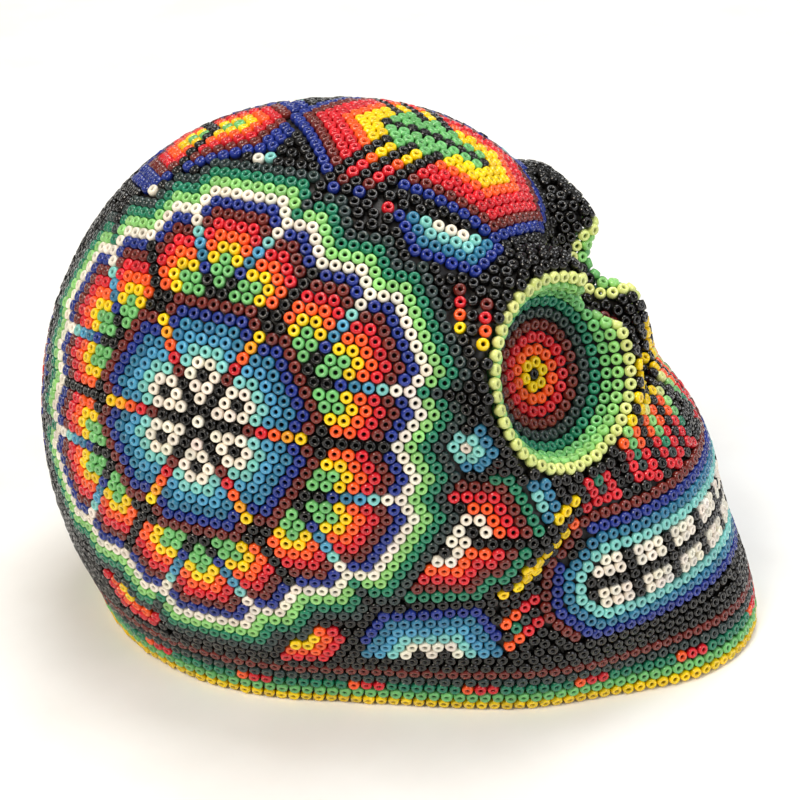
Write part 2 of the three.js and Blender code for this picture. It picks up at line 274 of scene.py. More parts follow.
outer = skin(0.0, BEAD_GAP)
SHIFT = ((wax_low.x + wax_high.x) / MM - outer[:, 0].min() - outer[:, 0].max()) / 2
print("the frame's origin lies", round(SHIFT, 2), "mm from the form's")
outer, inner = skin(WAX_LEVEL, BEAD_GAP), skin(-WAX_DEPTH, BEAD_GAP)
count = len(outer)
last = 1 + (UP - 1) * ROUND
band = [(last + i, count + last + i, count + last + (i + 1) % ROUND, last + (i + 1) % ROUND)
        for i in range(ROUND)]
wax_faces = skin_faces(0, False) + skin_faces(count, True) + band
wax = plain_mesh("wax_skin", np.vstack([outer, inner]) * MM, wax_faces)
wax.data.shade_smooth()
print("wax skin", len(wax_faces), "faces")

# %% [markdown]
# ## Laying beads
# A bead worker sets one row against another, so neighbours touch and each row drops into the gaps of
# the last. The rows here are worked out the same way: a pattern is drawn on a flat honeycomb of beads,
# and each bead of it walks out over the surface from the pattern's middle. Patterns are laid in order
# of importance, and a bead that would sit on an earlier one is left out.

# %% Bead colours
GLASS = {
    "ivory": "#EFE6D5", "black": "#0D0B09", "slate": "#2B3A38", "dark_green": "#1F7A5A",
    "green": "#6DB86B", "light_green": "#8CCB73", "pale_green": "#D5DE86", "yellow": "#F5CE05",
    "amber": "#F5A01A", "orange": "#FA5A1E", "red": "#D31F2A", "brown": "#6E261F", "navy": "#1E3084",
    "teal_blue": "#2F7596", "mid_blue": "#4A9ABF", "light_teal": "#7CC7C0",
}
NAMES = list(GLASS)
CLEAR = 0.86 * PITCH
CLOSE = 0.8 * PITCH
MIDLINE = 0.25 * PITCH
FROM_MIDLINE = 0.45 * PITCH
ROW_HIGH = 0.866
CHUNK = 400
laid = {"at": np.zeros((0, 3)), "glass": [], "node": []}


def apart(points, others, least):
    """Which points keep `least` clear of all the others."""
    keep = np.ones(len(points), dtype=bool)
    for start in range(0, len(points), CHUNK):
        part = points[start:start + CHUNK]
        if len(others):
            keep[start:start + CHUNK] = length_of(part[:, None] - others[None]).min(axis=1) >= least
    return keep


def lay(points, glass, node, least=CLEAR):
    """Lays a set of beads on the right half, unless they crowd earlier ones or the midline."""
    points = np.asarray(points, dtype=float)
    middle = np.abs(points[:, 1]) < MIDLINE
    points[middle, 1] = 0
    keep = middle | (points[:, 1] < -FROM_MIDLINE)
    keep &= points[:, 2] > BEAD_GAP
    keep &= apart(points, laid["at"], least)
    index = np.flatnonzero(keep)
    laid["at"] = np.vstack([laid["at"], points[index]])
    laid["glass"] += [glass[i] for i in index]
    laid["node"] += [node[i] if isinstance(node, list) else node for i in index]
    print(f"{node if isinstance(node, str) else node[0]}: {len(index)} of {len(points)} beads")


def honeycomb(centre, forward, cells):
    """Beads of a flat honeycomb (n, 2), in pitches, walked out from its centre."""
    cells = np.asarray(cells, dtype=float)
    start = settle(np.array([centre], dtype=float))
    normal = facing(start)
    ahead = unit(np.array([forward]) - (np.array([forward]) * normal).sum() * normal)
    across = np.cross(normal, ahead)
    reach = length_of(cells)
    turn = np.arctan2(cells[:, 1], cells[:, 0])
    ways = np.cos(turn)[:, None] * ahead + np.sin(turn)[:, None] * across
    return march(np.tile(start, (len(cells), 1)), ways, reach * PITCH)[0]


def walk(start, way, count):
    """Beads one pitch apart, from a start and on over the surface."""
    ways = np.tile(np.array(way, dtype=float), (count, 1))
    return march(np.tile(start, (count, 1)), ways, np.arange(count) * PITCH)[0]


def string(path, pitch=PITCH, closed=False, phase=0.0):
    """Beads set edge to edge along a path of close points."""
    path = np.vstack([path, path[:1]]) if closed else np.asarray(path)
    run = np.concatenate([[0], np.cumsum(length_of(np.diff(path, axis=0)))])
    count = max(2, round(run[-1] / pitch))
    places = (np.arange(count if closed else count + 1) + phase) * run[-1] / count
    places = places[places <= run[-1] + 1e-6]
    return np.stack([np.interp(places, run, path[:, k]) for k in range(3)], axis=1)


# %% [markdown]
# ### The rim
# Five straight rows run round the foot: yellow, light green, green with short red dashes, slate and
# brown. Each row follows the outline at its own height, and every other row starts half a bead on.
# The rim is laid first, because every other pattern has to stop at it.

# %% Rim rows
RIM = ["yellow", "green", "dark_green", "slate", "brown"]
DASH = ["red", "red", "orange"]
DASH_EVERY = 9
RIM_START, RIM_STEP = 1.2, 0.92


def contour(height, samples=400):
    """The outline of the bead surface at one height, on the right half, from front to back."""
    turns = -np.pi * np.arange(samples + 1) / samples
    ways = np.stack([np.cos(turns), np.sin(turns), np.zeros(samples + 1)], axis=1)
    origin = np.tile([SHIFT, 0, height], (samples + 1, 1))
    return origin + ways * ray_reach(origin, ways, BEAD_LEVEL)[:, None]


for row, name in enumerate(RIM):
    beads = string(contour(RIM_START + row * RIM_STEP * PITCH), phase=0.5 * (row % 2))
    names = [name] * len(beads)
    if name == "dark_green":
        names = [DASH[i % DASH_EVERY] if i % DASH_EVERY < len(DASH) else name for i in range(len(beads))]
    lay(beads, names, f"rim_row_{row + 1}")

# %% [markdown]
# ### Eye sockets
# Rings of one colour each climb from the black bead at the bottom of the bowl to the pale rim. A ring
# is a closed string of beads at one distance from the middle, so its count follows its real length.

# %% Eyes
EYE_RINGS = ["black", "yellow", "orange", "red", "brown", "slate", "dark_green", "green", "light_green",
             "pale_green"]
RING_STEP = 0.965 * PITCH
MIRROR = np.array([1, -1, 1])


def ring(centre, radius, samples=180):
    turns = 2 * np.pi * np.arange(samples) / samples
    cells = radius / PITCH * np.stack([np.cos(turns), np.sin(turns)], axis=1)
    return honeycomb(centre, (0, 0, 1), cells)


eye_middle = (EYE - EYE_AIM * (EYE_DEPTH - BOWL_LIFT)) * MIRROR + (SHIFT, 0, 0)
lay(settle(eye_middle[None]), ["black"], "right_eye_floor")
for k in range(1, len(EYE_RINGS)):
    beads = string(ring(eye_middle, k * RING_STEP), closed=True, phase=0.5 * (k % 2))
    node = "right_eye_floor" if k < 4 else "right_eye_bowl" if k < 8 else "right_eye_rim"
    lay(beads, [EYE_RINGS[k]] * len(beads), node, least=CLOSE)

# %% [markdown]
# ### Mouth
# Ivory teeth stand in two double rows with black between them, framed by rings of light teal, blue and
# navy. The panel is worked out on a sheet wrapped round the lip: u runs along the lip, v up the face.

# %% Mouth panel
LIP_HEIGHT = 24.6
TOOTH_EVERY = 4
TOOTH_COLUMNS = 18
ROW = 0.9 * PITCH
lip_line = contour(LIP_HEIGHT)
lip_run = np.concatenate([[0], np.cumsum(length_of(np.diff(lip_line, axis=0)))])


def on_lip(u, v):
    """Beads at u along the lip and v up the face, in millimetres."""
    u, v = np.broadcast_arrays(np.asarray(u, dtype=float), np.asarray(v, dtype=float))
    start = np.stack([np.interp(u, lip_run, lip_line[:, k]) for k in range(3)], axis=1)
    ways = np.zeros((len(u), 3))
    ways[:, 2] = np.where(v < 0, -1, 1)
    return march(start, ways, np.abs(v))[0]


def frame_path(out, samples=60):
    """The panel's outline, `out` beyond the teeth, from the midline over the top and back below."""
    high = 2.5 * ROW + out
    end = (TOOTH_COLUMNS + 0.1) * PITCH + out
    cut = 0.62 * high
    corners = [(0, high), (end - cut, high), (end, high - cut), (end, cut - high), (end - cut, -high),
               (0, -high)]
    edges = list(zip(corners, corners[1:]))
    u, v = (np.concatenate([np.linspace(a[k], b[k], samples, endpoint=False) for a, b in edges])
            for k in (0, 1))
    return on_lip(np.append(u, 0), np.append(v, -high))


for k, name in enumerate(["light_teal", "teal_blue", "navy"]):
    beads = string(frame_path((k + 0.6) * ROW), phase=0.5 * (k % 2))
    lay(beads, [name] * len(beads), "mouth_frame")

column = np.arange(TOOTH_COLUMNS)
for level in (2, 1, 0, -1, -2):
    tooth = "upper_teeth" if level > 0 else "lower_teeth"
    white = (column % TOOTH_EVERY != 2) & (level != 0)
    slant = 0.25 * level * np.minimum(column, 1)
    lay(on_lip((column + slant) * PITCH, level * ROW), ["ivory" if w else "black" for w in white],
        [tooth if w else "mouth_frame" for w in white])

# %% [markdown]
# ### Midline figures
# On the forehead lies a long hexagon with a corner on the midline at each end. It is filled in layers
# from its edge inwards, and two bright bars cross it on each side between black lines. A second figure
# of the same kind covers the crown and a third the back of the head.

# %% Forehead, crown and back
LAYERS = ["navy", "brown", "red", "red", "orange", "yellow", "yellow"]
BAR = ["green", "green", "green", "green", "yellow", "yellow", "orange", "red", "red", "brown", "navy"]
BACK_LAYERS = ["navy", "brown", "red", "orange", "yellow", "green", "dark_green", "light_teal", "ivory"]
CROWN_LAYERS = BACK_LAYERS[:6]
CELLS_ALONG, CELLS_WIDE = 16, 11


def midline_cells():
    """Honeycomb cells (along, row) for a midline figure, row 0 on the midline itself."""
    cells = []
    for row in range(CELLS_WIDE + 1):
        reach = CELLS_ALONG + row / 2
        along = np.arange(-math.floor(reach), math.floor(reach) + 1) + (row % 2) * 0.5
        cells += [(a, row) for a in along]
    return np.array(cells)


def long_hexagon(along, row, half_long, half_wide):
    """How many layers a cell lies inside the figure's edge."""
    return min(half_long - abs(along) - row / 2, half_wide - row)


def forehead_glass(along, row):
    """The forehead's bead in a cell: two crossing bars first, then the layers."""
    q = along + row / 2
    if -2 <= q <= 2 and row > 0:
        if row > 10:
            return None
        return "black" if q % 2 == 0 and row > 2 else BAR[row]
    level = int(long_hexagon(along, row, 11, 8))
    if level < 0:
        return None
    if row == 0 and level >= 7:
        return "black"
    return LAYERS[level] if level < len(LAYERS) else "green"


def crown_glass(along, row):
    level = int(long_hexagon(along, row, 7.5, 5))
    if level < 0:
        return None
    if abs(along + row / 2) <= 0.5:
        return "black"
    return CROWN_LAYERS[min(level, len(CROWN_LAYERS) - 1)]


def back_glass(along, row):
    level = int(long_hexagon(along, row, 9, 8))
    return None if level < 0 else BACK_LAYERS[min(level, len(BACK_LAYERS) - 1)]


def midline_figure(centre, forward, glass_of, node_of):
    cells = midline_cells()
    glass = [glass_of(a, int(r)) for a, r in cells]
    kept = [i for i, g in enumerate(glass) if g]
    beads = honeycomb(centre, forward, cells[kept] * (1, -ROW_HIGH))
    lay(beads, [glass[i] for i in kept], [node_of(glass[i]) for i in kept])


def on_midline(angle):
    """The surface point on the midline seen at an angle above the face, from the skull's middle."""
    way = heading(0, angle)[None]
    origin = np.array([[SHIFT, 0, SPINE_HEIGHT]])
    return (origin + way * ray_reach(origin, way, BEAD_LEVEL)[:, None])[0]


midline_figure(on_midline(84.5), (1, 0, 0), forehead_glass,
               lambda glass: "forehead_border" if glass == "navy" else "forehead_petals")
midline_figure(on_midline(121), (1, 0, 1), crown_glass, lambda glass: "crown_figure")
midline_figure(on_midline(176), (0, 0, 1), back_glass, lambda glass: "back_figure")

# %% [markdown]
# ### The large flower
# Each side of the head carries one flower on a single honeycomb. Six spokes part it into six sectors,
# each sector is the mirror of itself, and its outer part holds three petals, so one sector's rule makes
# all of the eighteen petals and the borders that follow their tips.

# %% Flower rule
SPOKE = [None, "black", "black", "black", "brown", "red", "orange", "amber", "yellow"]
DISC = {
    1: ["black"], 2: ["ivory"], 3: ["ivory"], 4: ["ivory", "black"], 5: ["light_teal", "ivory"],
    6: ["mid_blue", "light_teal"], 7: ["teal_blue", "mid_blue"], 8: ["navy", "teal_blue"],
    9: ["brown", "navy"], 10: ["black", "brown"],
}
PETAL = ["green", "yellow", "orange", "red", "brown", "navy", "ivory", "light_green", "dark_green", "slate"]
PETAL_LINE = {6: "black", 7: "black", 8: "navy", 9: "teal_blue", 10: "mid_blue", 11: "light_teal",
              12: "ivory", 13: "ivory"}
FLOWER_REACH = 24
DISC_REACH = 10
PETAL_SIDE = 5
FLOWER_PLACE = np.array([-24.6, -38.0, 52.8])


def petal_level(a, b):
    """Layers outwards in a petal, for a cell a and b steps along the two spokes beside it."""
    if a > PETAL_SIDE and b > PETAL_SIDE:
        u, v = a - PETAL_SIDE, b - PETAL_SIDE
        rounded = 1 if min(u, v) == 1 and u + v >= 4 else 0
        return max(0, u + v - 4 + rounded)
    side = min(a, b)
    start = max(0, 3 - side)
    return max(start, a + b - 12 + start)


def flower_glass(a, b):
    """The bead at a and b steps along a sector's two spokes, with b = 0 on the spoke itself."""
    r = a + b
    if r == 0:
        return "ivory"
    if b == 0:
        return SPOKE[r] if r <= 8 else "black" if r < 15 else PETAL[min(r - 9, 9)] if r <= 18 else None
    if r <= DISC_REACH:
        if r == 4:
            return "black" if a == b else "ivory"
        return DISC[r][0] if min(a, b) == 1 else DISC[r][-1]
    on_side = min(a, b) == PETAL_SIDE
    if on_side and max(a, b) in PETAL_LINE:
        return PETAL_LINE[max(a, b)]
    level = max(petal_level(a + 1, b), 7) if on_side else petal_level(a, b)
    return PETAL[level] if level < len(PETAL) else None


def cell_at(a, first, b, second):
    """The honeycomb cell `a` steps towards one angle and `b` steps towards another."""
    return a * math.cos(first) + b * math.cos(second), a * math.sin(first) + b * math.sin(second)


def flower_cells():
    cells, glass, rings = [], [], []
    for sector in range(6):
        first, second = math.radians(60 * sector), math.radians(60 * sector + 60)
        for a in range(FLOWER_REACH + 1):
            for b in range(FLOWER_REACH + 1 - a):
                if (a == 0 and (b > 0 or sector > 0)) or not flower_glass(a, b):
                    continue
                cells.append(cell_at(a, first, b, second))
                glass.append(flower_glass(a, b))
                rings.append(a + b)
    return np.array(cells), glass, rings


def flower_node(glass, r):
    if r <= DISC_REACH:
        return "right_flower_heart"
    if glass in ("light_green", "dark_green", "slate"):
        return "right_flower_border"
    return "right_flower_scallop" if glass == "ivory" else "right_flower_petals"


cells, glass, rings = flower_cells()
lay(honeycomb(FLOWER_PLACE, (1, 0, -0.04), cells), glass,
    [flower_node(g, r) for g, r in zip(glass, rings)])

# %% [markdown]
# ### Nose
# The opening is a pit of long rings round one black bead: orange, red and brown, and a black one outside.

# %% Nose
NOSE_RINGS = ["orange", "red", "brown", "black"]
NOSE_TALL, NOSE_WIDE, NOSE_LONGER = 0.95, 0.93, 0.7
NOSE_SAMPLES = 120
nose_middle = settle((NOSE + (SHIFT, 0, 0))[None])[0]
lay(nose_middle[None], ["black"], "nose_opening")
turns = 2 * np.pi * np.arange(NOSE_SAMPLES) / NOSE_SAMPLES
for k, name in enumerate(NOSE_RINGS, start=1):
    tall, wide = (NOSE_TALL * k + NOSE_LONGER) * PITCH, NOSE_WIDE * k * PITCH
    cells = np.stack([tall * np.cos(turns), wide * np.sin(turns)], axis=1) / PITCH
    beads = string(honeycomb(nose_middle, (0, 0, 1), cells), closed=True)
    lay(beads, [name] * len(beads), "nose_opening", least=CLOSE)

# %% [markdown]
# ### Small flowers
# Small round and half flowers fill the places between the large figures. Each is a few honeycomb rings
# round a bright heart.

# %% Small flowers


def patch_cells(reach):
    cells = [(0.0, 0.0)]
    for r in range(1, reach + 1):
        for side in range(6):
            first, second = math.radians(60 * side), math.radians(60 * side + 120)
            cells += [cell_at(r, first, i, second) for i in range(r)]
    return np.array(cells)


def ring_of(x, y):
    """The honeycomb ring that a cell lies on, counted from the middle."""
    row = abs(y) / ROW_HIGH
    return int(round(max(row, abs(x) + row / 2)))


def patch(centre, rings, node, hearts=((0, 0),), keep=lambda x, y: True, line=lambda x, y: False):
    """A small flower: rings of colour round one heart or more, with an optional black line."""
    cells = [c for c in patch_cells(len(rings) + 2) if keep(*c)]
    level = [min(ring_of(x - h[0], y - h[1]) for h in hearts) for x, y in cells]
    kept = [i for i in range(len(cells)) if level[i] < len(rings)]
    glass = ["black" if line(*cells[i]) else rings[level[i]] for i in kept]
    lay(honeycomb(centre, (1, 0, 0), np.array(cells)[kept]), glass, node)


patch((15, -34, 50.4), ["ivory", "light_teal", "teal_blue"], "right_temple_flower")
patch((15.5, -37, 35.8), ["black", "ivory", "orange", "red", "brown", "dark_green"], "right_cheek_flower",
      hearts=((0.5, ROW_HIGH), (-1.5, -ROW_HIGH)), line=lambda x, y: abs(y) < 0.1 and x > 0.8)
patch((24.5, -33, 40.5), ["ivory", "light_teal", "teal_blue"], "right_cheekbone_flower")
patch((10.5, -36, 13.2), ["black", "ivory", "light_teal", "mid_blue", "teal_blue", "navy"],
      "right_rim_flower", hearts=((-1, 0), (1, 0)), keep=lambda x, y: y > -0.1 and abs(x) < 5.3,
      line=lambda x, y: abs(x - y * 0.577 - 0.5) < 0.3 and y > 0.5)
patch((-9.5, -38, 16.4), ["yellow", "yellow", "orange", "red"], "right_rim_flower", keep=lambda x, y: y < 1)
patch((-38, -33.4, 17), ["ivory", "yellow", "orange", "red"], "right_rim_flower", keep=lambda x, y: y < 1)
patch((-20.5, -11.5, 85), ["ivory", "light_teal"], "right_ground")
patch((-38, -10.8, 78), ["ivory", "light_teal"], "right_ground")
patch((10.5, -17.6, 77.8), ["ivory", "light_teal", "teal_blue", "navy"], "right_ground",
      hearts=((-1, 0), (0, 0), (1, 0)), keep=lambda x, y: y < 0.5)


def short_string(start, way, names, node):
    """A few beads in a row, from one place and on in one direction."""
    lay(walk(settle(np.array([start], dtype=float)), way, len(names)), names, node)


short_string((12.5, -24, 71.5), (0, -0.5, -1), ["brown", "red", "orange", "yellow"], "right_ground")
short_string((16.5, -25.5, 70), (0, -0.5, -1), ["brown", "red", "orange", "yellow"], "right_ground")
short_string((-5, -18, 83), (1, -0.1, -0.3), ["yellow", "yellow", "orange", "red", "brown"], "right_ground")

# %% [markdown]
# ### Feathers
# Narrow feathers fan out from the mouth over the lip and the cheek. Each is a green core between two
# outer edges, which run from red at the mouth through orange to yellow, with black strings between.

# %% Feathers
EDGE = ["red", "red", "red", "orange", "orange"] + ["yellow"] * 9
CORE = ["red", "slate", "dark_green", "green", "light_green", "pale_green"]
STRINGS = {"core": CORE, "edge": EDGE, "black": ["black"] * 11}

brown_row = string(frame_path(3.6 * ROW), phase=0.5)
upper_end = next(i for i, p in enumerate(brown_row) if p[2] < LIP_HEIGHT - 5 * ROW)
lay(brown_row[:upper_end], ["brown"] * upper_end, "mouth_frame")
brown_row = brown_row[:upper_end]


def beyond_panel(beads):
    """The first bead of a string that stands clear of the brown row, on its outer side."""
    away = length_of(beads[:, None] - brown_row[None])
    nearest = brown_row[away.argmin(axis=1)]
    middle = brown_row.mean(axis=0) * (1, 1, 0) + (0, 0, LIP_HEIGHT)
    outside = ((beads - nearest) * (nearest - middle)).sum(axis=1) > 0
    return next(i for i in range(len(beads)) if outside[i:].all() and away[i:].min() > 0.9 * PITCH)


def feather(columns, centre, forward, middle, node):
    """Strings side by side on one honeycomb, each coloured from its end at the mouth."""
    for c, text in columns.items():
        kind, count = text.split()
        names = STRINGS[kind][:int(count)]
        steps = np.arange(-8, 20) + 0.5 * (c % 2)
        cells = np.stack([steps, np.full(len(steps), (c - middle) * ROW_HIGH)], axis=1)
        beads = honeycomb(centre, forward, cells)
        first = beyond_panel(beads)
        lay(beads[first:first + len(names)], names[:len(beads) - first], node)


MIDDLE = {0: "core 6", 1: "core 6", 2: "edge 11", 3: "edge 11", 4: "black 11"}
CHEEK_FRONT = {0: "black 9", 1: "edge 9", 2: "core 6", 3: "edge 9", 4: "black 9", 5: "edge 9", 6: "core 6",
               7: "edge 10", 8: "black 10", 9: "edge 9", 10: "core 6", 11: "edge 8", 12: "black 8"}
CHEEK_REAR = {13: "black 8", 14: "edge 7", 15: "core 6", 16: "edge 5"}
feather(MIDDLE, (44.5, 0, 39), (-0.4, 0, 0.92), 0, "middle_feather")
feather(CHEEK_FRONT, (41.5, -15.5, 40), (-0.45, 0.1, 0.88), 9, "right_cheek_feathers")
feather(CHEEK_REAR, (35, -24.5, 40), (-0.5, -0.1, 0.8), 15, "right_cheek_feathers")

# The strings behind the mouth start at the panel's rear edge and run back and down.
FOLD = ["black 9", "edge 9", "core 7", "edge 8", "black 8", "edge 8", "core 6", "edge 7", "black 5", "edge 4",
        "core 3", "edge 4"]
FOLD_WAY = (-0.62, -0.4, -0.66)
FOLD_START = 34
short_string((33.2, -27.9, 40.2), (-0.66, -0.66, -0.38), ["yellow"] * 8, "right_cheek_stripes")
short_string((34.6, -27.8, 37.8), (-0.62, -0.55, -0.55), ["red"] + ["orange"] * 2 + ["yellow"] * 6,
             "right_cheek_stripes")
fold_edge = string(frame_path(4.6 * ROW), pitch=1.12 * PITCH)
rear = next(i for i, p in enumerate(fold_edge) if p[0] < SHIFT + FOLD_START)
for text, start in zip(FOLD, fold_edge[rear:]):
    kind, count = text.split()
    names = (EDGE[1:] if kind == "edge" else STRINGS[kind])[:int(count)]
    lay(walk(start, FOLD_WAY, len(names)), names, "right_cheek_stripes")

# %% [markdown]
# ### Black ground
# The rest is black. A worker grows it from what is there: each new bead nests against two others. So
# the ground grows here in waves, each bead trying the places round it, until no place is free. Every
# pass after the first takes smaller gaps and tries more places.

# %% Ground
half = laid["at"]
side = half[:, 1] < -MIDLINE
at = np.vstack([half, half[side] * MIRROR])
glass = laid["glass"] + [laid["glass"][i] for i in np.flatnonzero(side)]
node = laid["node"] + [laid["node"][i].replace("right_", "left_") for i in np.flatnonzero(side)]
drawn = len(at)
LOWEST = 5.0


def fill(points, least, turns, stride):
    """Grows new beads round those that are there, wave by wave, and returns the new ones."""
    grid = {}
    key = lambda p: (int(p[0] // PITCH), int(p[1] // PITCH), int(p[2] // PITCH))
    for p in points.tolist():
        grid.setdefault(key(p), []).append(p)

    def free(p):
        x, y, z = key(p)
        return all((q[0] - p[0]) ** 2 + (q[1] - p[1]) ** 2 + (q[2] - p[2]) ** 2 >= least * least
                   for i in (x - 1, x, x + 1) for j in (y - 1, y, y + 1) for k in (z - 1, z, z + 1)
                   for q in grid.get((i, j, k), ()))

    grown, wave = [], points
    while len(wave):
        normal = facing(wave)
        level = unit(np.cross(normal, np.array([0.02, 0.03, 1.0])))
        climb = np.cross(normal, level)
        tries = [settle(wave + (math.cos(turn) * level + math.sin(turn) * climb) * stride, rounds=2)
                 for turn in 2 * np.pi * np.arange(turns) / turns]
        fresh = []
        for p in np.stack(tries, axis=1).reshape(-1, 3).tolist():
            if p[2] > LOWEST and free(p):
                grid.setdefault(key(p), []).append(p)
                fresh.append(p)
        grown += fresh
        wave = np.array(fresh).reshape(-1, 3)
    return np.array(grown).reshape(-1, 3)


# %% [markdown]
# ### Settling
# Pressed beads push each other aside until none overlap. Each pair that stands closer than a bead's
# width is moved apart, the ground more than the figures, and every bead is set back on the surface.
# Where that opens a gap, another black bead goes in.

# %% Settling
WIDE = 0.93 * PITCH
PUSH, LONGEST_PUSH = 0.9, 0.25 * PITCH
FIGURE, GROUND, FIXED = 4.0, 1.0, 1e6
# Each pass: the least distance in pitches, the places each bead tries, and how far off they lie.
PASSES = [(0.88, 6, 0.96), (0.82, 12, 0.9), (0.78, 16, 0.88), (0.77, 16, 0.88), (0.77, 16, 0.88)]
PASS_ROUNDS, LAST_ROUNDS = 14, 20
rng = np.random.default_rng(7)


def near_pairs(points, reach):
    """All pairs closer than `reach`, found through a grid of cells."""
    keys = np.floor(points / reach).astype(int)
    keys -= keys.min(axis=0) - 1
    span = keys.max(axis=0) + 2
    flat = (keys[:, 0] * span[1] + keys[:, 1]) * span[2] + keys[:, 2]
    order = np.argsort(flat, kind="stable")
    ranked = flat[order]
    first, second = [], []
    for step in np.ndindex(3, 3, 3):
        dx, dy, dz = np.array(step) - 1
        wanted = flat + (dx * span[1] + dy) * span[2] + dz
        low, high = np.searchsorted(ranked, wanted, "left"), np.searchsorted(ranked, wanted, "right")
        for k in range(int((high - low).max())):
            has = low + k < high
            i, j = np.flatnonzero(has), order[(low + k)[has]]
            first.append(i[i < j])
            second.append(j[i < j])
    i, j = np.concatenate(first), np.concatenate(second)
    close = length_of(points[i] - points[j]) < reach
    return i[close], j[close]


def relax(points, weight, rounds):
    """Pushes beads apart, the light ones further, and keeps them on the surface."""
    for _ in range(rounds):
        i, j = near_pairs(points, WIDE)
        gap = points[i] - points[j]
        distance = np.maximum(length_of(gap), 1e-6)
        push = gap * ((WIDE - distance) / distance * PUSH)[:, None]
        part = weight[j] / (weight[i] + weight[j])
        move = np.zeros_like(points)
        np.add.at(move, i, push * part[:, None])
        np.add.at(move, j, -push * (1 - part)[:, None])
        move *= np.minimum(1, LONGEST_PUSH / np.maximum(length_of(move), 1e-6))[:, None]
        points = settle(points + move * (weight < FIXED)[:, None], rounds=1)
    return points


weight = np.array([FIXED if n.startswith("rim_row") else FIGURE for n in node])
for least, turns, stride in PASSES:
    grown = fill(at, least * PITCH, turns, stride * PITCH)
    at = np.vstack([at, grown])
    weight = np.concatenate([weight, np.full(len(grown), GROUND)])
    at = relax(at, weight, PASS_ROUNDS)
    print("ground grown by", len(grown), "beads")
at = relax(at, weight, LAST_ROUNDS)
glass += ["black"] * (len(at) - drawn)
node += ["right_ground" if p[1] < 0 else "left_ground" for p in at[drawn:]]
i, j = near_pairs(at, WIDE)
gaps = length_of(at[i] - at[j])
print(len(at), "beads,", len(at) - drawn, "of them ground, closest", round(float(gaps.min()), 2), "mm,",
      int((gaps < 0.9 * WIDE).sum()), "tight pairs")

# %% [markdown]
# ## Glass beads
# A seed bead is a short ring cut from a drawn glass tube and tumbled in heat until its edges round off.
# One node tree makes it: a small circle swept round a larger one and stretched upright, then set on
# every point with its hole along the surface normal, with a little random tilt, spin and size.

# %% Linear colours and a node helper


def linear(code):
    """The linear colour of an sRGB hex value."""
    parts = [int(code[i:i + 2], 16) / 255 for i in (1, 3, 5)]
    return [c / 12.92 if c <= 0.04045 else ((c + 0.055) / 1.055) ** 2.4 for c in parts] + [1.0]


def add(tree, kind, settings=None, links=None):
    """Adds a node: settings are properties or input values, links are sockets or nodes that feed it."""
    node = tree.nodes.new(kind)
    for key, value in (settings or {}).items():
        if isinstance(key, int) or key in node.inputs:
            node.inputs[key].default_value = value
        else:
            setattr(node, key, value)
    for key, feed in (links or {}).items():
        tree.links.new(getattr(feed, "outputs", [feed])[0], node.inputs[key])
    return node


# %% [markdown]
# The tree's inputs are the bead's sizes and how unevenly it sits. It also marks the wall of the hole,
# so that the glass can get painted shade there.

# %% Bead tree
BEAD_WIDE = 0.985 * PITCH * MM
BEAD_HOLE = 0.5 * MM
BEAD_TALL = 1.45 * MM
BEAD_SIDES, TUBE_SIDES = 12, 6
INPUTS = {"Width": BEAD_WIDE, "Hole": BEAD_HOLE, "Height": BEAD_TALL, "Tilt": 0.09, "Size Spread": 0.035}
# The painted shade in the hole fades out over this share of the tube, from the hole's inner edge outwards.
BRIM = 0.45


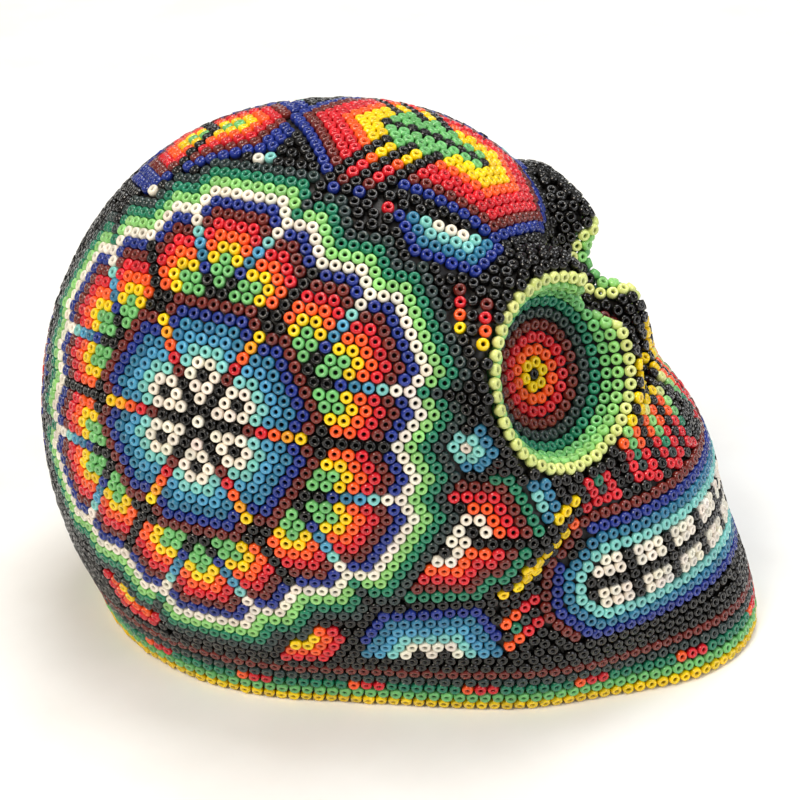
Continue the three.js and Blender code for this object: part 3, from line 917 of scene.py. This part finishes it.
def bead_tree():
    tree = bpy.data.node_groups.new("seed_beads", "GeometryNodeTree")

    def entry(name, kind, way="INPUT"):
        return tree.interface.new_socket(name, in_out=way, socket_type="NodeSocket" + kind)

    entry("Geometry", "Geometry")
    for name, value in INPUTS.items():
        entry(name, "Float").default_value = value
    entry("Sides", "Int").default_value = BEAD_SIDES
    entry("Seed", "Int").default_value = 3
    entry("Glass", "Material")
    entry("Geometry", "Geometry", "OUTPUT")
    source = add(tree, "NodeGroupInput").outputs

    def maths(operation, *values):
        """The result of a math node, its inputs given as numbers or sockets."""
        numbers = {i: v for i, v in enumerate(values) if isinstance(v, float)}
        sockets = {i: v for i, v in enumerate(values) if not isinstance(v, float)}
        return add(tree, "ShaderNodeMath", {"operation": operation, **numbers}, sockets).outputs[0]

    middle = maths("MULTIPLY", maths("ADD", source["Width"], source["Hole"]), 0.25)
    tube = maths("MULTIPLY", maths("SUBTRACT", source["Width"], source["Hole"]), 0.25)
    inner = maths("SUBTRACT", middle, tube)
    brim = maths("MULTIPLY_ADD", tube, BRIM, inner)
    ring_line = add(tree, "GeometryNodeCurvePrimitiveCircle",
                    links={"Resolution": source["Sides"], "Radius": middle})
    profile = add(tree, "GeometryNodeCurvePrimitiveCircle", {"Resolution": TUBE_SIDES}, {"Radius": tube})
    swept = add(tree, "GeometryNodeCurveToMesh",
                links={"Curve": ring_line, "Profile Curve": profile})
    stretch = maths("DIVIDE", source["Height"], maths("MULTIPLY", tube, 2.0))
    scale = add(tree, "ShaderNodeCombineXYZ", {"X": 1.0, "Y": 1.0}, {"Z": stretch})
    shaped = add(tree, "GeometryNodeTransform",
                 links={"Geometry": swept, "Scale": scale})
    place = add(tree, "GeometryNodeInputPosition")
    flat = add(tree, "ShaderNodeVectorMath", {"operation": "MULTIPLY", 1: (1, 1, 0)}, {0: place})
    reach = add(tree, "ShaderNodeVectorMath", {"operation": "LENGTH"}, {0: flat})
    # Painted shade for the hole: 1 at the hole's inner edge, falling to 0 at the brim.
    hole_shade_share = add(tree, "ShaderNodeMapRange", {"To Min": 1.0, "To Max": 0.0},
                {"Value": reach.outputs["Value"], "From Min": inner, "From Max": brim})
    marked = add(tree, "GeometryNodeStoreNamedAttribute",
                 {"data_type": "FLOAT", "domain": "POINT", "Name": "hole"},
                 {"Geometry": shaped, "Value": hole_shade_share})
    smooth = add(tree, "GeometryNodeSetShadeSmooth", links={"Geometry": marked})
    normal = add(tree, "GeometryNodeInputNamedAttribute", {"data_type": "FLOAT_VECTOR", "Name": "facing"})
    upright = add(tree, "FunctionNodeAlignRotationToVector", {"axis": "Z"}, {"Vector": normal})
    limits = add(tree, "ShaderNodeCombineXYZ", {"Z": math.pi}, {"X": source["Tilt"], "Y": source["Tilt"]})
    lower = add(tree, "ShaderNodeVectorMath", {"operation": "SCALE", "Scale": -1.0}, {0: limits})
    lean = add(tree, "FunctionNodeRandomValue", {"data_type": "FLOAT_VECTOR"},
               {"Min": lower, "Max": limits, "Seed": source["Seed"]})
    to_rotation = add(tree, "FunctionNodeEulerToRotation", links={0: lean})
    turned = add(tree, "FunctionNodeRotateRotation", {"rotation_space": "LOCAL"},
                 {0: upright, 1: to_rotation})
    size = add(tree, "FunctionNodeRandomValue", {"data_type": "FLOAT"},
               {2: maths("SUBTRACT", 1.0, source["Size Spread"]), 3: maths("ADD", 1.0, source["Size Spread"]),
                "Seed": source["Seed"]})
    beads = add(tree, "GeometryNodeInstanceOnPoints", links={
        "Points": source["Geometry"], "Instance": smooth,
        "Rotation": turned, "Scale": size.outputs[1]})
    real = add(tree, "GeometryNodeRealizeInstances", links={"Geometry": beads})
    painted = add(tree, "GeometryNodeSetMaterial",
                  links={"Geometry": real, "Material": source["Glass"]})
    add(tree, "NodeGroupOutput", links={"Geometry": painted})
    return tree


BEADS = bead_tree()
print("bead tree", len(BEADS.nodes), "nodes")

# %% [markdown]
# ## Finishes
# Opaque glass is smooth and fully glossy, with an index of about 1.5. Colour is drawn through the whole
# rod, so beads of one colour still differ a little from lot to lot, with faint streaks along the rod.
# The casting is a filled resin, pale and slightly rough. The wax is a dark beeswax with resin in it.

# %% Glass
STREAK = 0.35 * MM
GLASS_ROUGH, GLASS_INDEX = 0.16, 1.52


def new_material(name):
    material = bpy.data.materials.new(name)
    material.use_nodes = True
    return material, material.node_tree, material.node_tree.nodes["Principled BSDF"]


def glass_material():
    """Opaque seed-bead glass: a sharp highlight over even colour, with painted shade darkening the hole."""
    material, tree, shader = new_material("opaque_seed_bead_glass")
    shader.inputs["Roughness"].default_value = GLASS_ROUGH
    shader.inputs["IOR"].default_value = GLASS_INDEX
    tint = add(tree, "ShaderNodeAttribute", {"attribute_name": "tint"})
    hole = add(tree, "ShaderNodeAttribute", {"attribute_name": "hole"})
    place = add(tree, "ShaderNodeTexCoord")
    streak = add(tree, "ShaderNodeTexNoise", {"Scale": 1 / STREAK / 6, "Detail": 2.0},
                 {"Vector": place.outputs["Object"]})
    shade = add(tree, "ShaderNodeMapRange", {"From Min": 0.3, "From Max": 0.7, "To Min": 0.86, "To Max": 1.1},
                {"Value": streak})
    # Painted shade: the glass colour falls to 35 % towards the inside of the hole.
    painted_hole_shade = add(tree, "ShaderNodeMapRange", {"To Min": 1.0, "To Max": 0.35}, {"Value": hole.outputs["Fac"]})
    both = add(tree, "ShaderNodeMath", {"operation": "MULTIPLY"}, {0: shade, 1: painted_hole_shade})
    colour = add(tree, "ShaderNodeVectorMath", {"operation": "SCALE"},
                 {0: tint.outputs["Color"], "Scale": both})
    tree.links.new(colour.outputs[0], shader.inputs["Base Color"])
    return material


def mottled(name, dark, light, roughness, grain, bump):
    """A cast or poured surface: cloudy colour at `grain` metres, with a fine uneven skin."""
    material, tree, shader = new_material(name)
    shader.inputs["Roughness"].default_value = roughness
    place = add(tree, "ShaderNodeTexCoord").outputs["Object"]
    cloud = add(tree, "ShaderNodeTexNoise", {"Scale": 1 / grain, "Detail": 5.0}, {"Vector": place})
    ramp = add(tree, "ShaderNodeValToRGB", links={"Fac": cloud})
    for stop, position, code in zip(ramp.color_ramp.elements, (0.35, 0.65), (dark, light)):
        stop.position, stop.color = position, linear(code)
    pits = add(tree, "ShaderNodeTexNoise", {"Scale": 6 / grain, "Detail": 3.0}, {"Vector": place})
    relief = add(tree, "ShaderNodeBump", {"Strength": bump, "Distance": 0.2 * MM}, {"Height": pits})
    tree.links.new(ramp.outputs[0], shader.inputs["Base Color"])
    tree.links.new(relief.outputs[0], shader.inputs["Normal"])
    return material


GLASS_FINISH = glass_material()
WAX_FINISH = mottled("dark_beeswax_and_resin", "#0B0806", "#1A120B", 0.5, 4 * MM, 0.4)
RESIN_FINISH = mottled("filled_casting_resin", "#7E7468", "#A79C8D", 0.62, 9 * MM, 0.5)

# %% [markdown]
# ## Stringing the fields
# Each field of beads becomes one piece that stands for the frame's plain field. Its points carry the
# surface normal and their own tint, so one material colours every bead. Each bead then gets a tile of
# its own in the piece's map.


LINEAR = np.array([linear(GLASS[name]) for name in NAMES])
at_glass = np.array([NAMES.index(g) for g in glass])
LOT_SPREAD, TINT_SPREAD, DEPTH_SPREAD = 0.07, 0.02, 0.05
lot = rng.normal(1.0, LOT_SPREAD, (len(at), 1)) * rng.normal(1.0, TINT_SPREAD, (len(at), 3))
tints = np.clip(LINEAR[at_glass][:, :3] * lot, 0, 1)
normals = facing(at)
spare = rng.normal(0, DEPTH_SPREAD, len(at))
node = np.array(node)
TILE_EDGE, TILE_INSIDE = 0.08, 0.84


def socket_id(tree, name):
    return next(item.identifier for item in tree.interface.items_tree
                if item.name == name and item.in_out == "INPUT")


def tile_map(mesh, beads):
    """Gives every bead its own tile, with the turn round the ring as u and the ring's section as v."""
    corners = len(mesh.loops)
    each = corners // beads
    tile = np.arange(corners) // each
    inside = np.arange(corners) % each
    face, corner = inside // 4, inside % 4
    round_step, section = face // TUBE_SIDES, face % TUBE_SIDES
    ahead = np.array([0, 1, 1, 0])[corner]
    aside = np.array([0, 0, 1, 1])[corner]
    across = math.ceil(math.sqrt(beads))
    u = (tile % across + TILE_EDGE + TILE_INSIDE * (round_step + ahead) / BEAD_SIDES) / across
    v = (tile // across + TILE_EDGE + TILE_INSIDE * (section + aside) / TUBE_SIDES) / across
    layer = mesh.uv_layers.new(name="OFBake")
    layer.data.foreach_set("uv", np.stack([u, v], axis=1).astype(np.float32).ravel())


def bead_piece(name, seed):
    chosen = np.flatnonzero(node == name)
    if not len(chosen):
        print("no beads for", name)
        return None
    points = at[chosen] + normals[chosen] * spare[chosen][:, None]
    seeds = plain_mesh(f"{name}_points", points * MM, [])
    opaque = np.c_[tints[chosen], np.ones(len(chosen))]
    for key, values, kind, field in (("facing", normals[chosen], "FLOAT_VECTOR", "vector"),
                                     ("tint", opaque, "FLOAT_COLOR", "color")):
        layer = seeds.data.attributes.new(key, kind, "POINT")
        layer.data.foreach_set(field, values.astype(np.float32).ravel())
    modifier = seeds.modifiers.new("beads", "NODES")
    modifier.node_group = BEADS
    modifier[socket_id(BEADS, "Seed")] = seed
    modifier[socket_id(BEADS, "Glass")] = GLASS_FINISH
    shown = seeds.evaluated_get(bpy.context.evaluated_depsgraph_get())
    mesh = bpy.data.meshes.new_from_object(shown)
    mesh.name = f"{name}_beads"
    bpy.data.objects.remove(seeds)
    piece = put(f"{name}_beads", mesh)
    while mesh.uv_layers:
        mesh.uv_layers.remove(mesh.uv_layers[0])
    tile_map(mesh, len(chosen))
    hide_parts(name)
    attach(piece, "root")
    return piece


fields = [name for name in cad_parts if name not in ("skull_casting", "wax_coat")]
made = [bead_piece(name, 11 + i) for i, name in enumerate(fields)]
triangles = sum(2 * len(piece.data.polygons) for piece in made if piece)
print(len(at), "beads in", len(fields), "pieces,", triangles, "triangles")

# %% [markdown]
# The wax takes the place of the frame's wax. The casting keeps the frame's mesh and only gets a finish.

# %% Wax and casting
wax.data.materials.append(WAX_FINISH)
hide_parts("wax_coat")
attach(wax, "root")
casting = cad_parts["skull_casting"]
casting.data.materials.clear()
casting.data.materials.append(RESIN_FINISH)

# %% [markdown]
# ## Studio
# The skull stands on a pale floor in soft light: a large window-like light above on the left, a weaker
# one on the right, and an even, nearly white surround that the glossy beads mirror.

# %% Floor, lights and camera
FLOOR_HALF = 0.9


def floor():
    corners = [(x * FLOOR_HALF, y * FLOOR_HALF, 0) for x, y in ((-1, -1), (1, -1), (1, 1), (-1, 1))]
    piece = plain_mesh("studio_floor", corners, [(0, 1, 2, 3)])
    piece.data.materials.append(mottled("matt_white_paper", "#F2F1EE", "#FAFAF8", 0.9, 30 * MM, 0.05))


def area_light(name, place, aim, size, power, colour):
    data = bpy.data.lights.new(name, "AREA")
    data.size, data.energy, data.color = size, power, linear(colour)[:3]
    put(name, data, place, aim)


floor()
area_light("window", (-0.3, -0.5, 0.75), (0, 0, 0.04), 0.3, 5.4, "#FFF4E4")
area_light("fill", (0.7, -0.4, 0.45), (0, 0, 0.04), 0.5, 2.8, "#F4F6FF")
area_light("top", (0.05, 0.25, 0.9), (0, 0, 0.05), 0.5, 5.5, "#FFFFFF")

world = bpy.data.worlds.new("studio")
world.use_nodes = True
surround = world.node_tree.nodes["Background"].inputs
surround["Color"].default_value, surround["Strength"].default_value = linear("#F7F7F4"), 0.28
bpy.context.scene.world = world
bpy.context.scene.view_settings.view_transform = "Standard"

CAMERA_PLACE = Vector((49.3, -291.9, 211.7)) * MM
CAMERA_AIM = Vector((-0.6, 0.0, 37.1)) * MM
camera_data = bpy.data.cameras.new("camera")
camera_data.lens, camera_data.sensor_width = 94.7, 36.0
camera_data.clip_start, camera_data.clip_end = 0.01, 20
bpy.context.scene.camera = put("camera", camera_data, CAMERA_PLACE, CAMERA_AIM)
